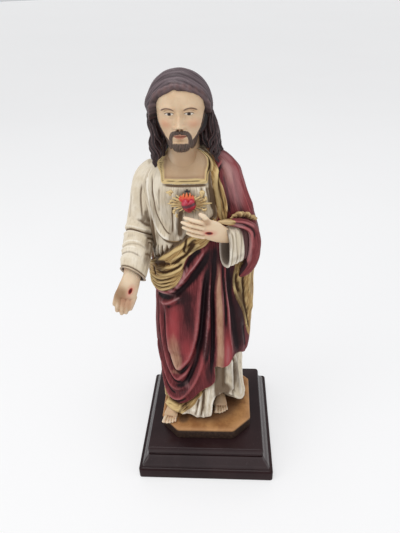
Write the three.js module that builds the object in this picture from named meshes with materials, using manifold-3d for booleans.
// A small painted cast-resin figure of a robed, bearded man with a heart on his chest.
// He stands on a cut-cornered ground that is cast with him, and the cast is glued to a moulded wooden plinth.
// Millimetres, +Z up, the figure faces -Y. The origin is the middle of the plinth's underside.
import * as THREE from 'three';
import { mergeVertices } from 'three/addons/utils/BufferGeometryUtils.js';
import Module from 'manifold-3d';

const wasm = await Module();
wasm.setup();

// Plinth
const plinthWidth = 54; // across the bottom band, the same both ways
const bandHeight = 6.2; // the upright band at the foot
const coveHeight = 3.2; // the hollow moulding over the band
const slabHeight = 4.0; // the rounded slab at the top, with the groove under it
const slabInset = 4.1; // how far the slab stands back from the band
const cornerRadius = 1.1;
const roundSteps = 3; // facets in each rounded corner and edge

// Ground that the figure is cast with
const groundWidth = 36.4;
const groundDepth = 36.0;
const groundThickness = 5.0;
const groundCorner = 7.0; // cut off each corner, along both sides
const groundBevel = 0.7;
const glueLine = 0.3; // between the plinth's top and the ground's underside

// Figure, from the top of the ground to the crown
const figureHeight = 132.6;

// Everything on the figure is a share of its height: lengths below are in hundredths of it,
// with x and y from the plinth's middle and z from the top of the ground.
const share = figureHeight / 100;
const plinthHeight = bandHeight + coveHeight + slabHeight;
const groundTop = plinthHeight + glueLine + groundThickness;

// Solids

// Turns a closed geometry, whose faces point out, into a solid that can be joined and cut.
function solidOf(geometry) {
  const bare = geometry.clone();
  bare.deleteAttribute('normal');
  bare.deleteAttribute('uv');
  const merged = mergeVertices(bare, 1e-4);
  const corners = merged.index.array;
  const whole = [];
  for (let i = 0; i < corners.length; i += 3) {
    const [a, b, c] = [corners[i], corners[i + 1], corners[i + 2]];
    if (a !== b && b !== c && c !== a) whole.push(a, b, c);
  }
  const mesh = new wasm.Mesh({
    numProp: 3,
    vertProperties: new Float32Array(merged.attributes.position.array),
    triVerts: new Uint32Array(whole),
  });
  return new wasm.Manifold(mesh);
}

function geometryOf(solid) {
  const mesh = solid.getMesh();
  const geometry = new THREE.BufferGeometry();
  geometry.setAttribute('position', new THREE.BufferAttribute(mesh.vertProperties, 3));
  geometry.setIndex(new THREE.BufferAttribute(mesh.triVerts, 1));
  geometry.computeVertexNormals();
  return geometry;
}

// A closed skin round a spine: place(turn, along, reach) gives each vertex its point. Turn is the angle round
// the spine, along runs from 0 to 1, and reach is 1 on the skin and 0 at the middle of the two end caps.
function skin(sides, steps, place) {
  const geometry = new THREE.CylinderGeometry(1, 1, 1, sides, steps);
  const points = geometry.attributes.position;
  for (let i = 0; i < points.count; i += 1) {
    const reach = Math.min(1, Math.round(Math.hypot(points.getX(i), points.getZ(i))));
    // the seam's two copies have to land on the same point
    const turn = reach === 0 ? 0 : seamless(Math.atan2(points.getX(i), points.getZ(i)));
    const point = place(turn, points.getY(i) + 0.5, reach);
    points.setXYZ(i, point.x, point.y, point.z);
  }
  return solidOf(geometry);
}

function seamless(angle) {
  const fine = 1e5;
  const snapped = Math.round(angle * fine) / fine;
  return snapped <= -Math.PI + 2 / fine ? -snapped : snapped;
}

// A tube through points [x, y, z, half-width, half-height], oval across, with rounded ends.
// wide is the direction of the half-width. shape(turn, along) may swell or pinch the section.
function tube(stations, { sides = 8, steps = 8, wide = [1, 0, 0], end = 0.5, shape = () => 1 } = {}) {
  const path = new THREE.CatmullRomCurve3(stations.map((s) => new THREE.Vector3(s[0], s[1], s[2])));
  const widthAt = track(stations.map((s, i) => [i, s[3]]));
  const heightAt = track(stations.map((s, i) => [i, s[4] ?? s[3]]));
  const spans = stations.length - 1;
  const across = new THREE.Vector3(...wide);
  const rounding = 0.16; // share of the tube's length that each rounded end takes up
  return skin(sides, steps, (turn, along, reach) => {
    const middle = path.getPoint(along);
    const tangent = path.getTangent(along);
    const side = across.clone().addScaledVector(tangent, -across.dot(tangent)).normalize();
    const up = tangent.clone().cross(side);
    const toEnd = Math.min(along, 1 - along) / rounding;
    const round = toEnd < 1 ? end + (1 - end) * Math.sqrt(1 - (1 - toEnd) ** 2) : 1;
    const size = reach * round * shape(turn, along);
    return middle
      .addScaledVector(side, Math.sin(turn) * widthAt(along * spans) * size)
      .addScaledVector(up, -Math.cos(turn) * heightAt(along * spans) * size);
  });
}

// An ellipsoid whose skin is pushed in or out: relief(turn, rise) is a factor, turn 0 being the front.
function ball(middle, radii, sides, steps, relief = () => 1) {
  const geometry = new THREE.SphereGeometry(1, sides, steps);
  const points = geometry.attributes.position;
  for (let i = 0; i < points.count; i += 1) {
    const height = Math.max(-1, Math.min(1, points.getY(i)));
    const flat = Math.sqrt(1 - height * height);
    const turn = flat < 1e-3 ? 0 : seamless(Math.atan2(points.getX(i), points.getZ(i)));
    const size = relief(turn, Math.asin(height));
    points.setXYZ(
      i,
      middle[0] + radii[0] * size * flat * Math.sin(turn) * (flat < 1e-3 ? 0 : 1),
      middle[1] - radii[1] * size * flat * Math.cos(turn) * (flat < 1e-3 ? 0 : 1),
      middle[2] + radii[2] * size * height,
    );
  }
  return solidOf(geometry);
}

// Curves and measures

const radians = THREE.MathUtils.degToRad;
const smooth = THREE.MathUtils.smoothstep;

// A smooth curve through [position, value] pairs
function track(pairs) {
  return (at) => {
    const last = pairs.length - 1;
    let i = 0;
    while (i < last - 1 && at > pairs[i + 1][0]) i += 1;
    const [before, here] = [pairs[Math.max(0, i - 1)], pairs[i]];
    const [next, after] = [pairs[Math.min(last, i + 1)], pairs[Math.min(last, i + 2)]];
    const span = next[0] - here[0] || 1;
    const t = Math.max(0, Math.min(1, (at - here[0]) / span));
    const slopeIn = ((next[1] - before[1]) / (next[0] - before[0] || 1)) * span;
    const slopeOut = ((after[1] - here[1]) / (after[0] - here[0] || 1)) * span;
    const [t2, t3] = [t * t, t * t * t];
    return (2 * t3 - 3 * t2 + 1) * here[1] + (t3 - 2 * t2 + t) * slopeIn
      + (3 * t2 - 2 * t3) * next[1] + (t3 - t2) * slopeOut;
  };
}

// The robe is worked as a cloth unrolled from the body: places on it are [degrees round from the front,
// height], and a degree is worth this much length.
const degreeLength = 0.2;

function unrolled(points, closed, pieces) {
  const curve = new THREE.CatmullRomCurve3(
    points.map(([turn, height]) => new THREE.Vector3(turn * degreeLength, height, 0)), closed, 'centripetal',
  );
  return curve.getPoints(points.length * pieces);
}

// Distance from a place to a line of points, and how far along it the nearest point is
function nearest(line, x, y) {
  let best = { distance: Infinity, along: 0, side: 1 };
  for (let i = 0; i + 1 < line.length; i += 1) {
    const [a, b] = [line[i], line[i + 1]];
    const [dx, dy] = [b.x - a.x, b.y - a.y];
    const t = Math.max(0, Math.min(1, ((x - a.x) * dx + (y - a.y) * dy) / (dx * dx + dy * dy || 1)));
    const [ex, ey] = [x - a.x - t * dx, y - a.y - t * dy];
    const distance = Math.hypot(ex, ey);
    if (distance < best.distance) {
      best = { distance, along: (i + t) / (line.length - 1), side: Math.sign(dx * ey - dy * ex) || 1 };
    }
  }
  return best;
}

// A fold is a ridge, or with a negative lift a valley, along a line on the unrolled cloth. It fades at its
// ends, and its left side may fall more steeply than its right.
function fold(points, lift, width, leftWidth = width) {
  const line = unrolled(points, false, 4);
  return (turn, height) => {
    const { distance, along, side } = nearest(line, turn * degreeLength, height);
    const spread = distance / (side > 0 ? leftWidth : width);
    return spread > 3 ? 0 : lift * Math.exp(-spread * spread) * Math.min(1, 6 * Math.min(along, 1 - along) + 0.25);
  };
}

// How far inside a pattern piece a place is: negative outside. A piece may run on past 180 degrees.
function pattern(points) {
  const line = unrolled(points, true, 4);
  const signed = (turn, height) => {
    const x = turn * degreeLength;
    let inside = false;
    for (let i = 0; i + 1 < line.length; i += 1) {
      const [a, b] = [line[i], line[i + 1]];
      if (a.y > height !== b.y > height && x < a.x + ((height - a.y) / (b.y - a.y)) * (b.x - a.x)) inside = !inside;
    }
    return (inside ? 1 : -1) * nearest(line, x, height).distance;
  };
  return (turn, height) => Math.max(signed(turn, height), signed(turn + 360, height), signed(turn - 360, height));
}

// Robe

const axisLean = -2.0; // the body's axis is this much further left at the shoulders than at the ground
const axisFoot = -1.0;
const shoulderHeight = 80;
const axisAt = (height) => axisFoot + axisLean * Math.min(1, height / shoulderHeight);

// Height, and how far the robed body reaches left, right, forward and back of its axis
const bodySections = [
  [-0.6, 12.4, 14.0, 9.8, 9.4],
  [7, 12.7, 12.4, 9.2, 9.2],
  [17, 13.3, 11.5, 9.4, 9.4],
  [22, 13.3, 12.6, 9.8, 9.6],
  [32, 12.6, 14.8, 10.0, 9.5],
  [40, 12.1, 16.0, 9.4, 9.3],
  [47, 12.3, 16.6, 8.8, 9.0],
  [54, 11.4, 17.8, 8.2, 8.8],
  [60, 10.6, 17.6, 8.2, 8.8],
  [66, 10.6, 15.2, 8.4, 8.8],
  [71, 11.0, 13.6, 8.0, 8.6],
  [75, 11.2, 12.6, 6.8, 8.0],
  [78.2, 9.6, 10.6, 5.0, 7.0],
  [80.6, 5.6, 6.4, 3.8, 5.6],
  [83, 3.9, 3.9, 3.4, 4.6],
];
const [reachLeft, reachRight, reachFront, reachBack] = [1, 2, 3, 4].map(
  (column) => track(bodySections.map((row) => [row[0], row[column]])),
);

const mantle = pattern([
  [-75, 52.5], [-44, 55], [-20, 58], [6, 62.2], [22, 66], [30, 69], [30, 75], [40, 79], [60, 82], [130, 82],
  [180, 79], [212, 71], [240, 60], [270, 54], [276, 48], [264, 40], [262, 20], [240, 10], [200, 12], [150, 11],
  [112, 15], [90, 20.5], [70, 21.6], [50, 19.2], [32, 20], [14, 21.4], [18, 19.6], [10, 14], [-10, 9.5], [-28, 6],
  [-56, 5.2], [-72, 8], [-96, 14], [-98, 30], [-92, 46],
]);
const lining = pattern([
  [-96, 50], [-75, 52.5], [-44, 55], [-20, 58], [6, 62.2], [26, 66.5], [29, 61.5], [13, 56], [3, 51.4],
  [-9, 48], [-27, 45.6], [-46, 45.2], [-66, 46],
]);
const collar = pattern([[-66, 84], [-52, 79.6], [-34, 75.6], [0, 75.4], [29, 75.6], [42, 79.6], [54, 84], [0, 88]]);
const clothThickness = 0.9;
const hemStep = 0.9; // the mantle's right front hangs this much clear of the tunic's skirt

const folds = [
  // under the raised knee, three deep swags hanging from the hip to the hand
  fold([[-64, 41], [-52, 28], [-44, 15], [-23, 20], [-5, 36], [20, 60]], 1.3, 1.0, 1.5),
  fold([[-66, 32], [-60, 17], [-49, 10], [-23, 15], [-1, 29], [13, 48]], 1.1, 0.9, 1.3),
  fold([[-78, 26], [-66, 10], [-45, 7.2], [-13, 12], [8, 28], [12, 42]], 0.9, 0.9, 1.2),
  fold([[16, 56], [14, 45], [9, 32], [2, 22], [-12, 14.5]], -1.5, 1.1, 0.8),
  // the flat pleat and the narrow ones beside it, straight down from the hand
  fold([[24, 59], [25, 45], [25, 32], [27, 21]], 1.2, 1.3),
  fold([[33, 58], [35, 44], [38, 31], [43, 21]], -0.9, 0.6),
  fold([[37, 54], [43, 42], [49, 31], [55, 22]], 1.0, 0.8),
  // the thigh pushed forward, and the fold across it
  fold([[-34, 40], [-32, 30], [-34, 20]], 1.3, 4.2),
  fold([[-56, 43], [-42, 39.5], [-22, 41], [0, 46]], 0.7, 0.9),
  // the turned-down lining round the hips
  fold([[-70, 46.4], [-46, 45.6], [-27, 46], [-9, 48.6], [13, 56.6], [26, 62]], 1.1, 1.2, 0.8),
  fold([[-70, 50], [-40, 50], [-15, 52], [8, 58]], 0.7, 0.8),
  // the tunic over the chest
  fold([[-50, 78], [-43, 74], [-40, 70], [-33, 66.4], [-24, 63.6], [-10, 61.6]], 0.7, 0.6),
  fold([[-24, 72], [-23, 66.5], [-15, 63.6], [-9, 67], [-9, 72]], 0.5, 0.6),
  // the left side
  fold([[-84, 42], [-82, 28], [-80, 13]], 0.9, 1.0),
  fold([[-104, 48], [-100, 30], [-98, 12]], 1.0, 1.2),
  // across the back, from the shoulder down to the hip
  fold([[150, 76], [190, 66], [232, 54], [268, 48]].map(([a, b]) => [a - 360, b]), 0.9, 1.2),
  fold([[130, 72], [170, 58], [215, 46], [262, 42]].map(([a, b]) => [a - 360, b]), 0.9, 1.3),
  fold([[120, 70], [150, 78]], 0.6, 1.2),
  fold([[118, 62], [122, 44], [120, 20]], 1.0, 1.4),
  fold([[142, 60], [148, 40], [146, 12]], 1.1, 1.4),
  fold([[170, 50], [172, 32], [168, 12]], 1.1, 1.3),
  fold([[-162, 42], [-160, 28], [-164, 12]], 1.1, 1.4),
  fold([[-134, 40], [-130, 26], [-134, 12]], 1.1, 1.3),
];

// The tunic's hem, round the body from [degrees, height]; the cast steps in below it to the ground
const tunicHem = track([
  [-180, 1.5], [-90, 2.4], [-60, 2.6], [-40, 1.4], [-10, 1.2], [6, 2.2], [15, 6.4], [36, 7.6], [52, 6.6], [70, 4],
  [90, 1.8], [180, 1.5],
]);
const hemRecess = 2.6;

// Pleats of the tunic's skirt, below the mantle's hem
const pleatCount = 17;
const pleatDepth = 0.55;
const pleatTop = 22;

// The mantle's back hangs clear of the left side of the body, and shows its lining to the front
const flap = { turn: 70, top: 52, foot: 21, reach: 1.9 };

// The facets are finer at the front, where the folds are
const crowding = 0.3;

function robePoint(evenTurn, along, reach) {
  const turn = evenTurn - crowding * Math.sin(evenTurn);
  const height = THREE.MathUtils.lerp(bodySections[0][0], bodySections.at(-1)[0], along);
  const degrees = THREE.MathUtils.radToDeg(turn);
  const [sine, cosine] = [Math.sin(turn), Math.cos(turn)];
  const across = sine > 0 ? reachRight(height) : reachLeft(height);
  const deep = cosine > 0 ? reachFront(height) : reachBack(height);
  const inMantle = mantle(degrees, height);
  const inLining = lining(degrees, height);
  const inCollar = collar(degrees, height);
  const fade = smooth(height, -1, 3) * (1 - smooth(height, 78, 82));
  let lift = clothThickness * (smooth(inMantle, -0.3, 0.5) - 0.5);
  lift += clothThickness * smooth(inLining, -0.3, 0.6);
  lift -= 0.5 * smooth(inCollar, -0.2, 0.5);
  for (const raise of folds) lift += raise(degrees, height) * fade;
  lift += hemStep * smooth(inMantle, -0.4, 0.4) * smooth(degrees, 4, 20) * (1 - smooth(degrees, 100, 130))
    * (1 - smooth(height, 23, 36));
  const bare = smooth(-inMantle, 0, 1) * (1 - smooth(height, pleatTop - 6, pleatTop));
  lift += pleatDepth * bare * Math.cos(pleatCount * turn + 0.6 * Math.sin(3 * turn));
  const hang = smooth(height, flap.foot, flap.foot + 9) * (1 - smooth(height, flap.top - 12, flap.top));
  lift -= hemRecess * (1 - smooth(height, tunicHem(degrees) - 0.5, tunicHem(degrees) + 0.7));
  lift += flap.reach * hang * smooth(degrees, flap.turn, flap.turn + 7) * (1 - smooth(degrees, 95, 150));
  return new THREE.Vector3(
    axisAt(height) + reach * sine * (across + lift),
    -reach * cosine * (deep + lift),
    height,
  );
}

// Arms and hands

function sleeveCreases(count, depth, slant) {
  return (turn, along) => 1 + depth * Math.sin(2 * Math.PI * count * along + slant * Math.sin(turn));
}

function rightSleeve() {
  return tube([
    [-10.4, 1.6, 77.0, 3.6], [-12.9, 1.6, 73.4, 4.4], [-14.9, 1.4, 69.0, 4.1], [-15.9, 0.8, 63.6, 3.9],
    [-16.4, -1.6, 60.0, 3.9], [-16.7, -5.4, 57.4, 3.6], [-17.2, -9.4, 54.8, 3.2],
  ], { sides: 14, steps: 14, end: 0.8, shape: sleeveCreases(5, 0.05, 1.2) });
}

function leftForearm() {
  return [
    // the mantle laid over the forearm and hanging below it
    tube([
      [11.8, 2.6, 57.6, 3.0, 6.4], [12.2, -2.4, 58.6, 3.2, 8.2], [11.2, -6.8, 60.8, 2.6, 7.6],
      [9.6, -8.8, 63.8, 2.2, 4.8],
    ], { sides: 14, steps: 8, wide: [0.6, -0.8, 0], end: 0.8 }),
    // the tunic's sleeve, hanging from the wrist
    tube([
      [11.4, -6.4, 60.8, 2.0, 5.6], [9.2, -8.8, 61.4, 2.0, 5.7], [7.2, -10.2, 64.0, 1.6, 3.8],
    ], { sides: 12, steps: 6, wide: [0.6, -0.8, 0], end: 0.75 }),
    tube([[11.6, -7.0, 63.6, 2.6], [8.4, -9.8, 65.2, 2.4, 2.5], [5.6, -10.8, 66.8, 2.4, 1.7]], { steps: 4 }),
  ];
}

// A hand is a flat palm with tapering fingers. The palm is [x, y, z] with its half sizes, and each finger a list of
// [x, y, z, radius].
function hand(palm, wide, fingers) {
  return [
    tube(palm, { sides: 8, steps: 4, wide, end: 0.6 }),
    ...fingers.map((finger) => tube(finger, { sides: 5, steps: 3, wide, end: 0.55 })),
  ];
}

// Fingers run from a row of knuckles to their own tips, bent a little at the middle joint.
function finger(knuckle, tip, bend, radius) {
  const middle = knuckle.map((value, i) => 0.5 * (value + tip[i]) + bend[i]);
  return [[...knuckle, radius], [...middle, radius * 0.92], [...tip, radius * 0.62]];
}

function rightHand() {
  const tips = [[-21.0, -16.0, 47.2], [-20.1, -16.4, 46.1], [-19.0, -16.4, 45.8], [-17.7, -16.0, 46.8]];
  const knuckles = tips.map((_, i) => [-19.2 + i * 1.0, -13.3, 51.0 - i * 0.2]);
  return hand(
    [[-16.2, -7.6, 56.4, 2.0, 1.7], [-16.5, -11.6, 53.6, 2.3, 1.5], [-17.9, -13.9, 50.0, 2.5, 1.2]],
    [1, 0.1, 0.1],
    [
      ...tips.map((tip, i) => finger(knuckles[i], tip, [0, -0.4, 0], 0.8)),
      finger([-17.9, -11.6, 53.6], [-21.0, -15.2, 49.2], [-0.5, 0, 0.4], 0.8),
    ],
  );
}

function leftHand() {
  const tips = [[-3.4, -10.9, 70.9], [-3.2, -10.9, 69.5], [-2.7, -10.9, 68.0], [-1.3, -10.9, 66.8]];
  const knuckles = tips.map((_, i) => [3.0, -11.3, 70.0 - i * 1.05]);
  return hand(
    [[7.6, -10.2, 65.8, 2.2, 1.7], [4.9, -11.4, 67.2, 2.5, 1.4], [1.8, -11.5, 68.5, 2.3, 1.1]],
    [0.2, 0, 1],
    [
      ...tips.map((tip, i) => finger(knuckles[i], tip, [0, -0.6, 0], 0.72)),
      finger([4.6, -11.6, 68.8], [0.4, -11.6, 72.9], [-0.2, -0.2, 0.7], 0.8),
    ],
  );
}

// The heart in a crown of rays, with flames and a small cross over it
function heart() {
  const middle = [-2.1, -8.4, 71.8];
  const rays = Array.from({ length: 12 }, (_, i) => {
    const turn = radians(90 + (i + 0.5) * (360 / 12));
    const reach = Math.sin(turn) > 0.75 ? 3.0 : 4.0;
    const tip = [middle[0] + reach * Math.cos(turn), middle[1] + 0.9, middle[2] + reach * 0.8 * Math.sin(turn)];
    return tube([[middle[0], middle[1] + 0.6, middle[2], 0.42], [...tip, 0.16]], { sides: 4, steps: 1, end: 1 });
  });
  const lobes = (turn, rise) => 1 + 0.16 * Math.cos(2 * turn) * Math.max(0, Math.sin(rise));
  return [
    ball(middle, [1.45, 1.5, 1.7], 10, 8, (turn, rise) => lobes(turn, rise) - 0.22 * smooth(-rise, 0, 1.2)),
    tube([[-2.1, -8.2, 72.6, 0.9], [-2.1, -7.6, 74.9, 0.35]], { sides: 6, steps: 3 }),
    tube([[-2.1, -7.6, 74.0, 0.3], [-2.1, -7.2, 76.2, 0.3]], { sides: 4, steps: 1, end: 1 }),
    ...rays,
  ];
}

// Head

const headMiddle = [-3.1, -2.6, 91.6];

// Places on the face as [degrees to the side, degrees up, lift, half-width, half-height], mirrored where the
// first is not zero
const features = [
  [0, 12, 0.035, 9, 14], [0, -6, 0.17, 7, 11], [0, -13, 0.10, 9, 6], [22, 15, 0.04, 13, 6], [20, 6, -0.07, 11, 7],
  [27, -12, 0.035, 14, 12], [0, -31, 0.07, 14, 6], [0, -47, 0.13, 18, 11], [46, -38, 0.03, 20, 14],
];

function faceRelief(turn, rise) {
  const [side, up] = [THREE.MathUtils.radToDeg(turn), THREE.MathUtils.radToDeg(rise)];
  let lift = 1 - 0.14 * smooth(Math.abs(side), 30, 90) * smooth(-up, 5, 60);
  for (const [at, height, raise, halfWidth, halfHeight] of features) {
    for (const mirror of at === 0 ? [0] : [-at, at]) {
      lift += raise * Math.exp(-(((side - mirror) / halfWidth) ** 2) - ((up - height) / halfHeight) ** 2);
    }
  }
  return lift;
}

function head() {
  return [
    ball(headMiddle, [5.7, 6.1, 7.9], 22, 16, faceRelief),
    tube([[-3.2, 0.6, 77, 3.9, 3.8], [-3.0, -0.8, 82, 3.5, 3.5], [-3.0, -1.6, 88, 3.6, 3.6]], {
      sides: 12, steps: 4, end: 1,
    }),
  ];
}

// The hair is a cap parted in the middle, and locks that fall in waves to the shoulders
function lock(root, fall, wave, radius) {
  const drops = 7;
  const stations = Array.from({ length: drops + 1 }, (_, i) => {
    const t = i / drops;
    const sway = wave * Math.sin(t * Math.PI * 3) * t;
    return [
      root[0] + fall[0] * t + sway,
      root[1] + fall[1] * t,
      root[2] + fall[2] * t,
      radius * (0.75 + 0.5 * Math.sin(Math.PI * Math.min(1, t * 1.15 + 0.1))) * (1 - 0.55 * t * t),
    ];
  });
  return tube(stations, { sides: 6, steps: 7, end: 0.45 });
}

function hair() {
  const part = (turn, rise) => 1 + 0.02 * Math.cos(18 * turn) - 0.05 * Math.exp(-((turn / 0.12) ** 2)) * smooth(rise, 0, 1);
  const cap = ball([-3.4, -1.6, 92.6], [7.3, 7.4, 7.6], 22, 12, part);
  const faceOpening = ball([-3.0, -9.0, 88.4], [5.2, 5.6, 9.2], 16, 10);
  const locks = [
    lock([-9.2, -3.4, 92.0], [0.4, -1.4, -14.4], 0.5, 1.7),
    lock([-8.3, -5.2, 90.4], [0.8, -0.4, -13.0], -0.5, 1.4),
    lock([-9.4, -0.6, 91.0], [0.2, 0.2, -12.4], 0.6, 1.8),
    lock([2.5, -3.4, 92.0], [1.4, -1.4, -14.0], -0.5, 1.7),
    lock([1.6, -5.2, 90.4], [0.8, -0.2, -12.8], 0.5, 1.4),
    lock([2.8, -0.6, 91.0], [2.6, 0.2, -10.6], -0.6, 1.7),
    ...[-6.2, -3.6, -1.0, 1.6].map((x, i) => {
      const root = [x - 1.0, 3.4 - 0.12 * (x + 2.3) ** 2, 89];
      return lock(root, [x * 0.3, 1.6, -12.4], i % 2 ? 0.5 : -0.5, 2.4);
    }),
  ];
  const nape = tube([[-3.0, 2.6, 78, 5.4, 3.0], [-3.0, 2.6, 84, 5.2, 3.0], [-3.0, 2.4, 91, 5.0, 3.4]], {
    sides: 12, steps: 4, end: 0.8,
  });
  return [cap.subtract(faceOpening), nape, ...locks];
}

function foot(x, y, turn) {
  const ahead = [Math.sin(turn), -Math.cos(turn)];
  const at = (forward, height, half, tall) => [x + ahead[0] * forward, y + ahead[1] * forward, height, half, tall];
  return tube([at(-3, 2.0, 1.6, 2.6), at(1, 1.4, 2.0, 2.0), at(4.2, 0.8, 2.2, 1.3)], { sides: 10, steps: 6 });
}

// Cast, ground and plinth

function ground() {
  const outline = (inset) => {
    const [w, d, c] = [groundWidth / 2 - inset, groundDepth / 2 - inset, groundCorner - inset * 0.6];
    return [[w - c, -d], [w, c - d], [w, d - c], [w - c, d], [c - w, d], [-w, d - c], [-w, c - d], [c - w, -d]];
  };
  const shape = new THREE.Shape(outline(groundBevel).map(([x, y]) => new THREE.Vector2(x, y)));
  const slab = new THREE.ExtrudeGeometry(shape, {
    depth: groundThickness - 2 * groundBevel, bevelSize: groundBevel, bevelThickness: groundBevel, bevelSegments: 2,
  });
  slab.translate(0, 0, plinthHeight + glueLine + groundBevel);
  return solidOf(slab);
}

function figure() {
  const pieces = [
    skin(48, 35, robePoint), rightSleeve(), ...leftForearm(), ...rightHand(), ...leftHand(), ...heart(),
    ...head(), ...hair(), foot(-9.8, -6.8, -0.15), foot(4.0, -4.0, 0.1),
  ];
  const body = pieces.reduce((all, piece) => all.add(piece));
  return body.scale([share, share, share]).translate([0, 0, groundTop]).add(ground());
}

// Half-widths and heights up the plinth's edge
function plinthEdge() {
  const half = plinthWidth / 2;
  const slab = half - slabInset;
  const slabFoot = bandHeight + coveHeight;
  const cove = Array.from({ length: 4 }, (_, i) => {
    const turn = (Math.PI / 2) * (i / 3);
    const outward = slab + 0.5 + (slabInset - 1.7) * (1 - Math.sin(turn));
    return [outward, bandHeight + 0.9 + (coveHeight - 0.9) * (1 - Math.cos(turn))];
  });
  const nose = Array.from({ length: 5 }, (_, i) => {
    const turn = Math.PI * (i / 4 - 0.5);
    return [slab - 0.4 + 1.2 * Math.cos(turn), slabFoot + slabHeight / 2 + (slabHeight / 2) * Math.sin(turn)];
  });
  return [[half, 0], [half, bandHeight - 0.7], [half - 0.7, bandHeight], ...cove, ...nose];
}

function plinth() {
  const edge = plinthEdge();
  const perCorner = roundSteps + 1;
  return skin(4 * perCorner, edge.length - 1, (turn, along, reach) => {
    const [half, height] = edge[Math.round(along * (edge.length - 1))];
    const index = Math.round((turn / (2 * Math.PI)) * 4 * perCorner + 4 * perCorner) % (4 * perCorner);
    const corner = Math.floor(index / perCorner);
    const bend = (Math.PI / 2) * (corner + (index % perCorner) / roundSteps);
    const centre = half - cornerRadius;
    const [sx, sy] = [[1, -1], [1, 1], [-1, 1], [-1, -1]][corner];
    return new THREE.Vector3(
      reach * (sx * centre + cornerRadius * Math.sin(bend)),
      reach * (sy * centre - cornerRadius * Math.cos(bend)),
      height,
    );
  });
}

function piece(name, solid, look) {
  const mesh = new THREE.Mesh(geometryOf(solid), new THREE.MeshStandardMaterial(look));
  mesh.name = name;
  return mesh;
}

const statue = new THREE.Group();
statue.add(
  piece('figure', figure(), { color: 0x7a2a33, roughness: 0.55, metalness: 0 }),
  piece('plinth', plinth(), { color: 0x3a2a2c, roughness: 0.4, metalness: 0 }),
);

export default statue;
